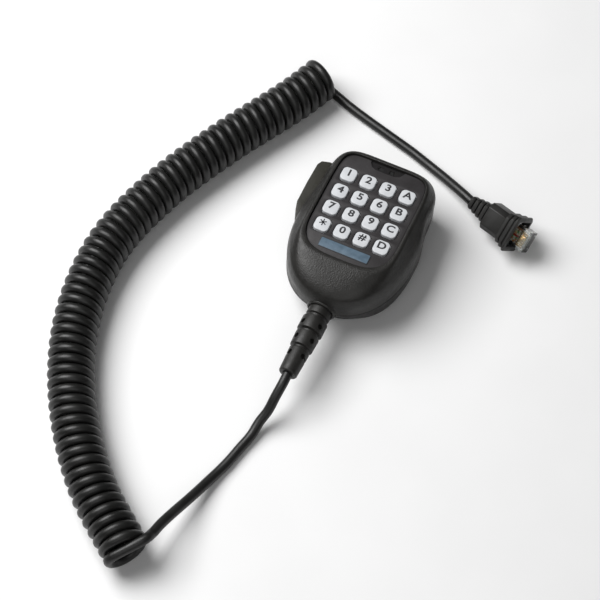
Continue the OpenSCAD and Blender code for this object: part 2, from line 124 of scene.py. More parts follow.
def circle(radius, count=48, centre=(0, 0)):
    """Points round a circle."""
    turn = 2 * math.pi / count
    return [(centre[0] + radius * math.cos(i * turn), centre[1] + radius * math.sin(i * turn))
            for i in range(count)]


def rod(radius, z0, z1, centre=(0, 0), count=48, edge=0.0):
    """Round bar along Z, with chamfered ends."""
    steps = [(z0, edge), (z0 + edge, 0), (z1 - edge, 0), (z1, edge)] if edge else [(z0, 0), (z1, 0)]
    return loft("rod", [[(x, y, z) for x, y in circle(radius - cut, count, centre)] for z, cut in steps])


def block(low, high):
    """Plain box, used as a cutter."""
    corners = [(low[0], low[1]), (high[0], low[1]), (high[0], high[1]), (low[0], high[1])]
    return loft("block", [[(x, y, z) for x, y in corners] for z in (low[2], high[2])])


def fillet(points, radius, steps=4):
    """Closed outline with its corners rounded, with the same number of points at each."""
    out = []
    for i, p in enumerate(points):
        here = Vector(p)
        before, after = Vector(points[i - 1]) - here, Vector(points[(i + 1) % len(points)]) - here
        angle = before.angle(after)
        reach = min(radius / math.tan(angle / 2), 0.48 * before.length, 0.48 * after.length)
        a, b = here + before.normalized() * reach, here + after.normalized() * reach
        for k in range(steps + 1):
            t = k / steps
            out.append(tuple(a * (1 - t) ** 2 + here * 2 * t * (1 - t) + b * t ** 2))
    return out


def inset(points, distance):
    """Closed outline, anticlockwise, moved inwards by a small distance."""
    out = []
    for i, p in enumerate(points):
        before, after = Vector(points[i - 1]), Vector(points[(i + 1) % len(points)])
        along = (after - before).normalized()
        out.append((p[0] - along.y * distance, p[1] + along.x * distance))
    return out


def rounded_rect(width, height, radius, steps=7, centre=(0, 0)):
    """Outline of a rectangle with round corners, anticlockwise."""
    out = []
    corners = [(1, 1, 0), (-1, 1, 90), (-1, -1, 180), (1, -1, 270)]
    for sx, sy, start in corners:
        for k in range(steps + 1):
            a = math.radians(start + 90 * k / steps)
            out.append((centre[0] + sx * (width / 2 - radius) + radius * math.cos(a),
                        centre[1] + sy * (height / 2 - radius) + radius * math.sin(a)))
    return out


def slab(name, outline, z0, z1, edge, material=None, steps=3):
    """Upright solid over an outline, with its upper and lower edges rounded."""
    rings = []
    for k in range(steps + 1):
        a = math.radians(90 * k / steps)
        rings.append((z0 + edge * (1 - math.sin(a)), edge * (1 - math.cos(a))))
    rings = rings[::-1]
    rings += [(z1 - (z - z0), cut) for z, cut in rings[::-1]]
    return loft(name, [[(x, y, z) for x, y in inset(outline, cut)] for z, cut in rings], material)


def plate(name, outline, holes, z0, z1, edge, material):
    """Flat plate with holes and rounded edges."""
    curve = bpy.data.curves.new(name, "CURVE")
    curve.dimensions, curve.fill_mode = "2D", "BOTH"
    for ring in [outline] + [hole[::-1] for hole in holes]:
        spline = curve.splines.new("POLY")
        spline.points.add(len(ring) - 1)
        for point, (x, y) in zip(spline.points, ring):
            point.co = (x * MM, y * MM, 0, 1)
        spline.use_cyclic_u = True
    curve.extrude = ((z1 - z0) / 2 - edge) * MM
    curve.bevel_depth, curve.bevel_resolution = edge * MM, 2
    curve.offset = -edge * MM
    shape = link(name, curve)
    bpy.context.view_layer.update()
    mesh = bpy.data.meshes.new_from_object(shape.evaluated_get(bpy.context.evaluated_depsgraph_get()))
    bpy.data.objects.remove(shape)
    mesh.transform(Matrix.Translation((0, 0, (z0 + z1) / 2 * MM)))
    return link(name, mesh, material)


def give(obj, body=HOUSING, stands_for=(), angle=35):
    """Shades a piece and puts it on its body, in the place of the CAD nodes that it stands for."""
    if obj.type == "MESH":
        smooth_shading(obj, angle)
    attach(obj, body)
    if stands_for:
        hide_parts(*stands_for)
    return obj


# --- materials ------------------------------------------------------------------------------------
class Surface:
    """A Principled material whose textures are measured in mm."""

    def __init__(self, name, colour, rough, metallic=0.0, specular=0.5):
        self.material = bpy.data.materials.new(name)
        self.material.use_nodes = True
        self.nodes = self.material.node_tree.nodes
        self.links = self.material.node_tree.links
        self.shader = self.nodes["Principled BSDF"]
        self.shader.inputs["Base Color"].default_value = (*colour, 1)
        self.shader.inputs["Roughness"].default_value = rough
        self.shader.inputs["Metallic"].default_value = metallic
        self.shader.inputs["Specular IOR Level"].default_value = specular
        self.place = self.nodes.new("ShaderNodeTexCoord").outputs["Object"]

    def noise(self, size, detail=3.0, stretch=None):
        """Noise with bumps about size mm across, stretched along an axis if asked."""
        place = self.place
        if stretch:
            mapping = self.nodes.new("ShaderNodeMapping")
            mapping.inputs["Scale"].default_value = stretch
            self.links.new(place, mapping.inputs["Vector"])
            place = mapping.outputs["Vector"]
        node = self.nodes.new("ShaderNodeTexNoise")
        node.inputs["Scale"].default_value = 1 / (size * MM)
        node.inputs["Detail"].default_value = detail
        self.links.new(place, node.inputs["Vector"])
        return node.outputs["Fac"]

    def cells(self, size):
        """Pebbled grain with cells about size mm across."""
        node = self.nodes.new("ShaderNodeTexVoronoi")
        node.feature = "SMOOTH_F1"
        node.inputs["Scale"].default_value = 1 / (size * MM)
        self.links.new(self.place, node.inputs["Vector"])
        return node.outputs["Distance"]

    def ramp(self, value, stops):
        """Colour ramp over (position, colour) stops."""
        node = self.nodes.new("ShaderNodeValToRGB")
        elements = node.color_ramp.elements
        while len(elements) < len(stops):
            elements.new(0.5)
        for element, (position, colour) in zip(elements, stops):
            element.position, element.color = position, (*colour, 1)
        self.links.new(value, node.inputs["Fac"])
        return node.outputs["Color"]

    def colour(self, value, dark, light, low=0.35, high=0.65):
        """Base colour that wanders between two colours."""
        self.links.new(self.ramp(value, [(low, dark), (high, light)]), self.shader.inputs["Base Color"])

    def gloss(self, value, smooth, rough):
        """Roughness that wanders between two values."""
        node = self.nodes.new("ShaderNodeMapRange")
        node.inputs["From Min"].default_value, node.inputs["From Max"].default_value = 0.3, 0.7
        node.inputs["To Min"].default_value, node.inputs["To Max"].default_value = smooth, rough
        self.links.new(value, node.inputs["Value"])
        self.links.new(node.outputs["Result"], self.shader.inputs["Roughness"])

    def bump(self, value, depth, strength=1.0):
        """Relief of depth mm on top of any relief already there."""
        node = self.nodes.new("ShaderNodeBump")
        node.inputs["Distance"].default_value = depth * MM
        node.inputs["Strength"].default_value = strength
        normal = self.shader.inputs["Normal"]
        if normal.links:
            self.links.new(normal.links[0].from_socket, node.inputs["Normal"])
        self.links.new(value, node.inputs["Height"])
        self.links.new(node.outputs["Normal"], normal)

    def set(self, **values):
        """Constants on the shader's own sockets, with _ for a space."""
        for name, value in values.items():
            self.shader.inputs[name.replace("_", " ")].default_value = value
        return self


def moulded(name, dark, light, smooth, rough, grain=0.5, depth=0.03, patch=7.0, specular=0.5):
    """Moulded plastic or rubber: soft patches of colour, uneven gloss and a fine pebbled grain."""
    s = Surface(name, dark, rough, specular=specular)
    s.colour(s.noise(patch, 4), dark, light)
    s.gloss(s.noise(patch * 0.4, 5), smooth, rough)
    s.bump(s.noise(patch * 1.5, 2), depth * 1.5, 0.4)
    s.bump(s.cells(grain), depth)
    return s


def metal(name, dark, light, smooth, rough, brushed=(1, 1, 14)):
    """Metal with fine drawn lines along one axis."""
    s = Surface(name, light, rough, metallic=1.0)
    s.colour(s.noise(1.5, 4, brushed), dark, light)
    s.gloss(s.noise(0.8, 4, brushed), smooth, rough)
    s.bump(s.noise(0.3, 3, brushed), 0.01)
    return s


def clear_plastic():
    """Polycarbonate of a modular plug."""
    s = Surface("clear_polycarbonate", (0.93, 0.95, 0.93), 0.06)
    s.set(Transmission_Weight=1.0, IOR=1.49)
    s.gloss(s.noise(1.2, 3), 0.03, 0.16)
    s.bump(s.noise(0.9, 2), 0.03)
    return s.material


def laminate():
    """Green board with copper tracks under the varnish."""
    s = Surface("board_laminate_green", (0.02, 0.12, 0.05), 0.35)
    s.colour(s.noise(1.6, 1, (1, 0.2, 1)), (0.015, 0.1, 0.04), (0.05, 0.22, 0.1), 0.47, 0.53)
    s.bump(s.noise(1.6, 1, (1, 0.2, 1)), 0.03)
    return s.material


def wire_material(name, base, stripe):
    """Insulated wire, with a stripe of a second colour wound round it."""
    s = Surface(name, base, 0.4)
    wave = s.nodes.new("ShaderNodeTexWave")
    wave.inputs["Scale"].default_value = 1 / (7 * MM)
    s.links.new(s.place, wave.inputs["Vector"])
    s.colour(wave.outputs["Fac"], base, stripe, 0.6, 0.7)
    s.bump(s.noise(0.4, 2), 0.01)
    return s.material


COVER = moulded("cover_black", (0.015, 0.0145, 0.0135), (0.022, 0.0213, 0.0198), 0.3, 0.42,
                grain=0.6, depth=0.085, specular=0.28).material
REAR = moulded("rear_black", (0.009, 0.0087, 0.0082), (0.014, 0.0136, 0.0128), 0.36, 0.5,
               grain=0.5, depth=0.06, specular=0.28).material
PANEL = moulded("panel_grey", (0.021, 0.0188, 0.0198), (0.028, 0.0255, 0.0268), 0.42, 0.56,
                grain=0.45, depth=0.03, specular=0.35).material
# Painted shade: a near-black colour for the sheet over the sound recess floor, standing in for the shade that
# falls in the recess
RECESS_PAINTED_SHADE = moulded("recess_painted_shade", (0.006, 0.0052, 0.0056), (0.01, 0.0088, 0.0094), 0.5, 0.65,
                 grain=0.45, depth=0.03, specular=0.2).material
PTT = moulded("ptt_dark_olive", (0.019, 0.018, 0.0135), (0.028, 0.0265, 0.0205), 0.32, 0.46,
              grain=0.6, depth=0.05, specular=0.35).material
CORD = moulded("cord_black", (0.006, 0.006, 0.0057), (0.01, 0.01, 0.0094), 0.34, 0.46,
               grain=0.7, depth=0.02, patch=14.0, specular=0.42).material
BOOT = moulded("boot_black", (0.01, 0.0096, 0.0088), (0.017, 0.0163, 0.015), 0.38, 0.54,
               grain=0.5, depth=0.04, specular=0.42).material
KEY = moulded("key_pale_grey", (0.54, 0.555, 0.575), (0.6, 0.615, 0.635), 0.34, 0.48,
              grain=0.3, depth=0.008, patch=4.0).material
LABEL = moulded("label_blue_grey", (0.07, 0.11, 0.15), (0.1, 0.15, 0.2), 0.42, 0.56,
                grain=0.5, depth=0.02, patch=3.0, specular=0.3).material
LABEL_LINE = moulded("label_line_dark", (0.012, 0.016, 0.02), (0.02, 0.026, 0.032), 0.4, 0.55,
                     grain=0.3, depth=0.01, patch=3.0).material
PRINT = moulded("print_black", (0.008, 0.008, 0.01), (0.014, 0.014, 0.017), 0.45, 0.6,
                grain=0.2, depth=0.004, patch=1.5).material
MAT = moulded("mat_grey_rubber", (0.09, 0.09, 0.1), (0.12, 0.12, 0.13), 0.55, 0.7).material
RESIN = moulded("chip_black_resin", (0.01, 0.01, 0.01), (0.02, 0.02, 0.02), 0.5, 0.7,
                grain=0.2, depth=0.01).material
IVORY = moulded("ivory_plastic", (0.55, 0.52, 0.42), (0.66, 0.63, 0.53), 0.35, 0.5).material
FELT = moulded("felt_black", (0.005, 0.005, 0.005), (0.012, 0.012, 0.012), 0.85, 1.0,
               grain=0.15, depth=0.08, patch=0.5).material
STEEL = metal("bright_steel_drawn", (0.42, 0.42, 0.43), (0.62, 0.62, 0.63), 0.22, 0.4).material
BLACK_STEEL = metal("black_steel_oxide", (0.03, 0.03, 0.032), (0.07, 0.07, 0.075), 0.3, 0.5).material
GOLD = metal("gold_plate", (0.78, 0.5, 0.16), (0.95, 0.7, 0.3), 0.15, 0.3).material
CLEAR = clear_plastic()
LAMINATE = laminate()

# --- camera ---------------------------------------------------------------------------------------
CAMERA_AT = (191.7, -486.4, 888.6)
CAMERA_LOOKS_AT = (-16.1, -42.1, 0)
camera = link("camera", bpy.data.cameras.new("camera"))
camera.data.lens, camera.data.sensor_width = 120, 36
camera.data.clip_start, camera.data.clip_end = 0.01, 20
camera.location = Vector(CAMERA_AT) * MM
camera.rotation_euler = (Vector(CAMERA_LOOKS_AT) - Vector(CAMERA_AT)).to_track_quat("-Z", "Y").to_euler()
bpy.context.scene.camera = camera

# --- cord -----------------------------------------------------------------------------------------
CORD_D = 5.0
CORD_SIDES = 20
# Middle lines of the two leads, and of the curly part seen from above
MIC_LEAD = [
    (0, -91, 18), (0, -96, 17.3), (-1, -103, 13.5), (-2, -109, 9), (-4, -115, 5.5), (-5, -122, 3.2),
    (-7, -130, 2.6), (-9, -139, 2.6), (-11, -146, 2.9), (-13, -153, 4), (-15, -161, 6),
    (-17, -169, 8.6), (-19, -177, 11.5), (-21, -186, 14.6), (-22, -193, 17), (-24, -199, 19.3)]
COIL = [(-28, -206), (-62, -180), (-90, -146), (-109, -106), (-115, -62), (-106, -20), (-89, 20),
        (-69, 58), (-59, 81)]
PLUG_LEAD = [
    (-50, 78, 2.6), (-42, 75, 2.6), (-34, 72.4, 2.6), (-27, 70.3, 2.6), (-19, 68, 2.6), (-12, 66, 2.6),
    (-5, 64, 2.6), (1.5, 62, 2.7), (8.5, 59.4, 3), (15.5, 56.6, 3.7), (22, 53.7, 4.8),
    (28.7, 50.3, 6.4), (35.5, 46.8, 8), (41.8, 43.5, 9)]
COIL_TURNS = 59.5
COIL_R = 9.35
COIL_Z = 11.9
COIL_MARGIN = 0.8          # from the end of the coil's line to the middle of its end turn
TURN_POINTS = 30
TURN_JOINT = TURN_POINTS // 5  # points of an end turn that go over into the lead
LEAD_STEPS = 5             # steps between two points of a lead


def curve_point(p, q, r, s, t):
    """Point of a Catmull-Rom curve between q and r."""
    return 0.5 * (2 * q + (r - p) * t + (2 * p - 5 * q + 4 * r - s) * t * t
                  + (3 * q - p - 3 * r + s) * t ** 3)


def smooth_line(points, steps):
    """Smooth curve through points, with a number of steps between two of them."""
    points = [Vector(p) for p in points]
    full = [2 * points[0] - points[1]] + points + [2 * points[-1] - points[-2]]
    line = [curve_point(*full[i:i + 4], k / steps) for i in range(len(points) - 1) for k in range(steps)]
    return line + [points[-1]]


def along(line, distances):
    """Points and directions at the given distances along a line."""
    total, i, out = 0.0, 0, []
    for distance in distances:
        while i < len(line) - 2 and total + (line[i + 1] - line[i]).length < distance:
            total += (line[i + 1] - line[i]).length
            i += 1
        step = line[i + 1] - line[i]
        out.append((line[i] + step.normalized() * (distance - total), step.normalized()))
    return out


def length_of(line):
    return sum((b - a).length for a, b in zip(line, line[1:]))


def coil_line():
    """Middle line of the curly part: a helix about a line that lies on the table."""
    axis = smooth_line([(x, y, COIL_Z) for x, y in COIL], 40)
    usable = length_of(axis) - 2 * COIL_MARGIN
    count = round(COIL_TURNS * TURN_POINTS)
    places = along(axis, [COIL_MARGIN + usable * i / count for i in range(count + 1)])
    line = []
    for i, (point, ahead) in enumerate(places):
        angle = math.radians(90) + 2 * math.pi * COIL_TURNS * i / count
        side = Vector((ahead.y, -ahead.x, 0)).normalized()
        line.append(point + COIL_R * (math.cos(angle) * side + math.sin(angle) * Vector((0, 0, 1))))
    return line


def cord_line():
    """The whole cord's middle line, from the strain relief to the plug's boot."""
    coil = coil_line()
    joint = TURN_JOINT
    first = smooth_line(MIC_LEAD + [tuple(coil[joint]), tuple(coil[2 * joint])], LEAD_STEPS)
    last = smooth_line([tuple(coil[-2 * joint]), tuple(coil[-joint])] + PLUG_LEAD, LEAD_STEPS)
    line = first[:-LEAD_STEPS - 1] + coil[joint:-joint] + last[LEAD_STEPS + 1:]
    for point in line:
        point.z = max(point.z, CORD_D / 2)     # the cord lies on the table, not in it
    return line


def tube(name, line, radius, sides, material):
    """Round tube that follows a line without twisting."""
    ahead = (line[1] - line[0]).normalized()
    up = Vector((0, 0, 1))
    up = (up - ahead * up.dot(ahead)).normalized()
    rings = []
    for i, point in enumerate(line):
        near, far = line[max(i - 1, 0)], line[min(i + 1, len(line) - 1)]
        turned = (far - near).normalized()
        up.rotate(ahead.rotation_difference(turned))
        ahead = turned
        side = ahead.cross(up)
        ring = [point + radius * (math.cos(a) * up + math.sin(a) * side)
                for a in (2 * math.pi * k / sides for k in range(sides))]
        rings.append([tuple(p) for p in ring])
    return loft(name, rings, material)


cord_path = cord_line()
cord = tube("curly_cord", cord_path, CORD_D / 2, CORD_SIDES, CORD)
give(cord, stands_for=("cord_lead_mic", "cord_coil", "cord_lead_plug"), angle=60)

# --- covers ---------------------------------------------------------------------------------------
RING_POINTS = 240
MID_Y = -8
WAIST = (-6, 14)
HALF_W, TOP, BOTTOM = 32.5, 35, 52.4
PARTING_Z, RIM_Z, LEDGE_Z, UNDER_Z, FLOOR_Z, BACK_Z = 18, 36.2, 33.7, 31.7, 9.5, 7.5
WALL = 2.2
# Height, half width, top, bottom, squareness of top and bottom, narrowing of the head
FRONT = [
    (18, HALF_W - 0.1, TOP, BOTTOM - 0.1, 5.5, 2.2, 0.1), (22, HALF_W, TOP + 0.1, BOTTOM, 5.5, 2.15, 0.1),
    (25, HALF_W - 0.3, TOP, BOTTOM - 0.4, 5.5, 2.2, 0.085),
    (28, HALF_W - 1.5, TOP - 0.4, BOTTOM - 1.6, 5.5, 2.3, 0.06),
    (30, HALF_W - 2.8, TOP - 0.9, BOTTOM - 3.1, 5.6, 2.45, 0.035),
    (32, HALF_W - 4.2, TOP - 1.7, BOTTOM - 6.4, 5.7, 2.7, 0.01),
    (34, HALF_W - 5.6, TOP - 2.7, BOTTOM - 11.4, 5.8, 3.2, 0),
    (35.4, HALF_W - 6.5, TOP - 3.6, BOTTOM - 16.2, 5.9, 3.7, 0),
    (RIM_Z, HALF_W - 7.1, TOP - 4.4, BOTTOM - 19.1, 6, 4, 0)]
BACK = [
    (BACK_Z, HALF_W - 3, TOP - 3.6, BOTTOM - 7.9, 5.5, 2.9, 0.1),
    (9, HALF_W - 1.5, TOP - 1.8, BOTTOM - 5.8, 5.5, 2.7, 0.1),
    (12, HALF_W - 0.4, TOP - 0.6, BOTTOM - 3.1, 5.5, 2.45, 0.1),
    (15, HALF_W - 0.2, TOP, BOTTOM - 1.1, 5.5, 2.3, 0.1),
    (PARTING_Z, HALF_W - 0.1, TOP, BOTTOM - 0.1, 5.5, 2.2, 0.1)]
CASE_SCREWS = [(-19.5, 28.5), (19.5, 28.5), (-23, -28.5), (23, -28.5)]
PANEL_SHAPE = (23.5, 29.2, 30.8, 8, 3.4, 0)
PTT_PIVOT = (-28.2, -13.2)


def ease(t):
    u = max(0.0, min(1.0, t))
    return u * u * (3 - 2 * u)


def egg(half_width, top, bottom, n_top, n_bottom, narrow, cut=0.0, count=RING_POINTS):
    """Egg-shaped outline with squarish top corners."""
    out = []
    for i in range(count):
        c, s = math.cos(2 * math.pi * i / count), math.sin(2 * math.pi * i / count)
        n, h = (n_top, top - MID_Y) if s >= 0 else (n_bottom, bottom + MID_Y)
        r = ((abs(c) / (half_width - cut)) ** n + (abs(s) / (h - cut)) ** n) ** (-1 / n)
        y = MID_Y + r * s
        out.append((r * c * (1 - narrow * ease((y - WAIST[0]) / (WAIST[1] - WAIST[0]))), y))
    return out


def section(table, z):
    """A cover's section at a height, on a smooth curve through its table."""
    z = max(table[0][0], min(table[-1][0], z))
    i = max(k for k in range(len(table) - 1) if table[k][0] <= z)
    a, b = table[i], table[i + 1]
    before, after = table[max(i - 1, 0)], table[min(i + 2, len(table) - 1)]
    gap = b[0] - a[0]
    t = (z - a[0]) / gap
    out = []
    for k in range(1, 7):
        slope_a = (b[k] - before[k]) / (b[0] - before[0]) * gap
        slope_b = (after[k] - a[k]) / (after[0] - a[0]) * gap
        out.append((2 * t ** 3 - 3 * t * t + 1) * a[k] + (t ** 3 - 2 * t * t + t) * slope_a
                   + (3 * t * t - 2 * t ** 3) * b[k] + (t ** 3 - t * t) * slope_b)
    return out


def ring(table, z, cut=0.0, at=None):
    """Ring of a cover at a height, with the section of the height at, moved inwards by cut."""
    return [(x, y, z) for x, y in egg(*section(table, z if at is None else at), cut=cut)]


def spread(a, b, count):
    return [a + (b - a) * i / (count - 1) for i in range(count)]


def level(outline, z):
    return [(x, y, z) for x, y in outline]


def window_ring(z):
    """Square window under the keys, with its points at the same angles as the outline's."""
    out = []
    for x, y in egg(*PANEL_SHAPE):
        reach = min(21.8 / max(abs(x), 1e-6), (22.4 - MID_Y if y > MID_Y else 22.4 + MID_Y)
                    / max(abs(y - MID_Y), 1e-6))
        out.append((x * reach, MID_Y + (y - MID_Y) * reach, z))
    return out


def half_lip(low_angle):
    """Half of the lip round the cord's exit, over 180 degrees from an angle."""
    profile = fillet([(4.9, 45), (9.2, 45), (8.2, 49.5), (7.6, 52), (7.2, 52.7), (6.5, 52.7), (6.5, 51.5),
                      (4.9, 51.5)], 0.3, 3)
    rings = []
    for k in range(49):
        a = math.radians(low_angle + 180 * k / 48)
        rings.append([(r * math.cos(a), -d, PARTING_Z + r * math.sin(a)) for r, d in profile])
    return loft("lip", rings)


def cord_bores():
    """Cutter for the strain relief's neck and flange."""
    rings = [[(r * math.cos(a), -d, PARTING_Z + r * math.sin(a))
              for a in (2 * math.pi * k / 64 for k in range(64))]
             for r, d in [(7.9, 44), (7.9, 50), (5.1, 50), (5.1, 60)]]
    return loft("cord_bores", rings)


def ptt_gap():
    """Cutter for the push-to-talk bar's opening, with slightly rounded corners."""
    outline = rounded_rect(42.1, 14.1, 0.8, 4, (4.95, 18.25))
    return loft("ptt_gap", [[(x, y, z) for y, z in outline] for x in (-50, -23)])


def front_cover():
    groove = 0.25
    rings = [ring(FRONT, PARTING_Z, groove), ring(FRONT, PARTING_Z + groove)]
    rings += [ring(FRONT, z) for z in spread(19, 35.4, 34)]
    rings += [ring(FRONT, RIM_Z - 0.45, 0.02), ring(FRONT, RIM_Z - 0.2, 0.12), ring(FRONT, RIM_Z - 0.06, 0.3)]
    rings += [ring(FRONT, RIM_Z, 0.6)]
    for z, cut in [(RIM_Z, -0.45), (RIM_Z - 0.1, -0.22), (RIM_Z - 0.35, -0.1), (LEDGE_Z, -0.1)]:
        rings.append(level(egg(*PANEL_SHAPE, cut=cut), z))
    rings += [window_ring(LEDGE_Z), window_ring(UNDER_Z)]
    rings += [ring(FRONT, z, WALL, z + 2) for z in (UNDER_Z, 30.5, 29, 27, 24, 21, PARTING_Z)]
    cover = loft("front_shell", rings, COVER, closed=True)
    carve(cover, half_lip(0), "UNION")
    carve(cover, joined("posts", [rod(2.6, PARTING_Z, 30.6, p) for p in CASE_SCREWS[2:]]), "UNION")
    carve(cover, cord_bores())
    carve(cover, ptt_gap())
    carve(cover, joined("bores", [rod(1.22, PARTING_Z - 1, 28, p) for p in CASE_SCREWS[2:]]))
    carve(cover, rod(4.5, UNDER_Z - 3, LEDGE_Z + 1, (0, 25.5)))
    return give(cover, stands_for=("front_cover",), angle=32)


def foot_outline():
    """Segment of a circle across the lower back."""
    top, centre, radius = -31.5, -19.5, 25
    half = math.degrees(math.acos((centre - top) / radius))
    arc = [math.radians(270 + a) for a in spread(-half, half, 49)]
    return [(radius * math.cos(a), centre + radius * math.sin(a)) for a in arc]


def rear_cover():
    groove = 0.25
    rings = [ring(BACK, BACK_Z, 1.2, BACK_Z), ring(BACK, BACK_Z, 0.5), ring(BACK, BACK_Z + 0.12, 0.15)]
    rings += [ring(BACK, z) for z in spread(8, 17.5, 20)]
    rings += [ring(BACK, PARTING_Z - groove), ring(BACK, PARTING_Z, groove)]
    rings += [ring(BACK, z, WALL, z - 1.8) for z in (PARTING_Z, 15, 12, 10.5, FLOOR_Z)]
    cover = loft("rear_shell", rings, REAR)
    foot = slab("foot", foot_outline(), 0, 9.0, 0.9)
    carve(cover, foot, "UNION")
    carve(cover, half_lip(180), "UNION")
    bosses = [rod(3.4, FLOOR_Z - 1, PARTING_Z - 0.05, p) for p in CASE_SCREWS] + [rod(6.2, FLOOR_Z - 1, 12)]
    carve(cover, joined("bosses", bosses), "UNION")
    holes = [rod(2.6, BACK_Z - 1, 10.1, p) for p in CASE_SCREWS] + [rod(3.05, BACK_Z - 1, 13)]
    carve(cover, joined("counterbores", holes))
    carve(cover, joined("screw_holes", [rod(1.35, 9, PARTING_Z + 1, p) for p in CASE_SCREWS]))
    carve(cover, cord_bores())
    carve(cover, ptt_gap())
    carve(cover, rod(1.03, 8.8, PARTING_Z, PTT_PIVOT))
    return give(cover, stands_for=("rear_cover",), angle=32)


front_cover()
rear_cover()

# --- face -----------------------------------------------------------------------------------------
KEY_PITCH, KEY_SIZE, KEY_CORNER, KEY_GAP = 10.7, 7.8, 2.3, 0.5
PANEL_Z, KEY_TOP_Z = 34.9, 36.0
RECESS_CORNERS = [(-9.2, 30), (-8.8, 28), (-7.4, 25.9), (-5, 24.9), (5, 24.9), (7.4, 25.9), (8.8, 28),
                  (9.2, 30)]
RECESS_DEPTH = 0.85
SLOT_SIZE, SLOT_X, SLOT_Y = (3.2, 2), 3.2, 26.8
LABEL_SIZE, LABEL_AT = (26.8, 5.5), (0, -24.95)
KEYS = ["1", "2", "3", "a", "4", "5", "6", "b", "7", "8", "9", "c", "star", "0", "hash", "d"]
CHARACTER_TALL = 4.0
CHARACTER_WIDEN = 1.18     # the typeface is broader than the built-in one
CHARACTER_RAISE = 0.95     # characters sit above the middle of their keys


def key_place(i):
    return (i % 4 - 1.5) * KEY_PITCH, (1.5 - i // 4) * KEY_PITCH


def sound_slots():
    """Cutter for the two slots in front of the microphone."""
    outlines = [rounded_rect(*SLOT_SIZE, 0.35, 4, (x, SLOT_Y)) for x in (-SLOT_X, SLOT_X)]
    return joined("slots", [loft("slot", [level(outline, z) for z in (33, 36)]) for outline in outlines])


def face_panel():
    size = KEY_SIZE + 2 * KEY_GAP
    holes = [rounded_rect(size, size, KEY_CORNER + KEY_GAP, 7, key_place(i)) for i in range(16)]
    outline = egg(*PANEL_SHAPE, cut=0.1)
    panel = plate("keypad_panel", outline, holes, LEDGE_Z, PANEL_Z, 0.22, PANEL)
    recess = fillet(RECESS_CORNERS, 0.5)
    sunk = loft("recess", [level(recess, PANEL_Z - RECESS_DEPTH), level(inset(recess, -0.3), PANEL_Z + 0.2)])
    carve(panel, sunk)
    carve(panel, sound_slots())
    # Thin near-black sheet just over the recess floor: painted shade in the recess, with the slots cut
    # through it
    shade = loft("sound_recess_painted_shade", [level(inset(recess, 0.02), PANEL_Z - z) for z in (0.9, 0.84)], RECESS_PAINTED_SHADE)
    carve(shade, sound_slots())
    give(shade)
    return give(panel, stands_for=("face_panel",), angle=50)


def label_strip():
    """Blank label with a thin dark line round its edge."""
    outline = rounded_rect(*LABEL_SIZE, 0.6, 4, LABEL_AT)
    strip = slab("blank_label", outline, PANEL_Z, PANEL_Z + 0.25, 0.1, LABEL)
    line = slab("label_line", outline, PANEL_Z, PANEL_Z + 0.27, 0.05, LABEL_LINE)
    inner = rounded_rect(26.2, 4.9, 0.4, 4, LABEL_AT)
    carve(line, loft("line_hole", [level(inner, z) for z in (PANEL_Z - 1, PANEL_Z + 1)]))
    give(line)
    return give(strip, stands_for=("label_strip",))


def key(i):
    """Key cap with its stem and the flange under the panel."""
    name, (x, y) = KEYS[i], key_place(i)
    steps = [(3, 1.5, 31.2), (3, 1.5, 32.4), (10, 2.6, 32.4), (10, 2.6, 33.4), (KEY_SIZE, KEY_CORNER, 33.4)]
    edge = 0.42
    for k in range(6):
        a = math.radians(90 * k / 5)
        cut = edge * (1 - math.cos(a))
        steps.append((KEY_SIZE - 2 * cut, KEY_CORNER - cut, KEY_TOP_Z - edge * (1 - math.sin(a))))
    rings = [level(rounded_rect(size, size, corner, 7, (x, y)), z) for size, corner, z in steps]
    cap = loft(f"keycap_{name}", rings, KEY)
    return give(cap, f"key_{name}_body", (f"key_{name}",), 50)


def asterisk(x, y):
    """Three crossed strokes on the star key."""
    strokes = []
    for angle in (0, 60, 120):
        turn = Matrix.Rotation(math.radians(angle), 4, "Z")
        outline = [turn @ Vector((*p, 0)) for p in rounded_rect(0.6, 3.9, 0.1, 2)]
        places = [(x + p.x, y + CHARACTER_RAISE + p.y) for p in outline]
        strokes.append(loft("stroke", [level(places, KEY_TOP_Z + z) for z in (-0.025, 0.025)]))
    star = joined("character_star", strokes)
    star.data.materials.append(PRINT)
    return give(star, "key_star_body", angle=30)


def character(i):
    """The key's character, as a thin raised print."""
    name, (x, y) = KEYS[i], key_place(i)
    if name == "star":
        return asterisk(x, y)
    text = bpy.data.curves.new(f"character_{name}", "FONT")
    text.body = "#" if name == "hash" else name.upper()
    text.size, text.extrude, text.bevel_depth, text.bevel_resolution = 1, 0.01, 0.03, 0
    shape = link(text.name, text)
    bpy.context.view_layer.update()
    mesh = bpy.data.meshes.new_from_object(shape.evaluated_get(bpy.context.evaluated_depsgraph_get()))
    bpy.data.objects.remove(shape)
    low = Vector(map(min, *[v.co for v in mesh.vertices]))
    high = Vector(map(max, *[v.co for v in mesh.vertices]))
    tall = CHARACTER_TALL * MM / (high.y - low.y)
    size = Matrix.Diagonal((tall * CHARACTER_WIDEN, tall, 0.05 * MM / (high.z - low.z), 1))
    place = Matrix.Translation(Vector((x, y + CHARACTER_RAISE, KEY_TOP_Z)) * MM)
    mesh.transform(place @ size @ Matrix.Translation(-(low + high) / 2))
    return give(link(f"character_{name}", mesh, PRINT), f"key_{name}_body", angle=30)


face_panel()
label_strip()
for number in range(16):
    key(number)
    character(number)


# --- push to talk ---------------------------------------------------------------------------------
PTT_LOW, PTT_HIGH = 11.5, 25
PTT_SLOPE_Y, PTT_SLOPE = -3.2, 0.3     # the top face falls away below this height along Y


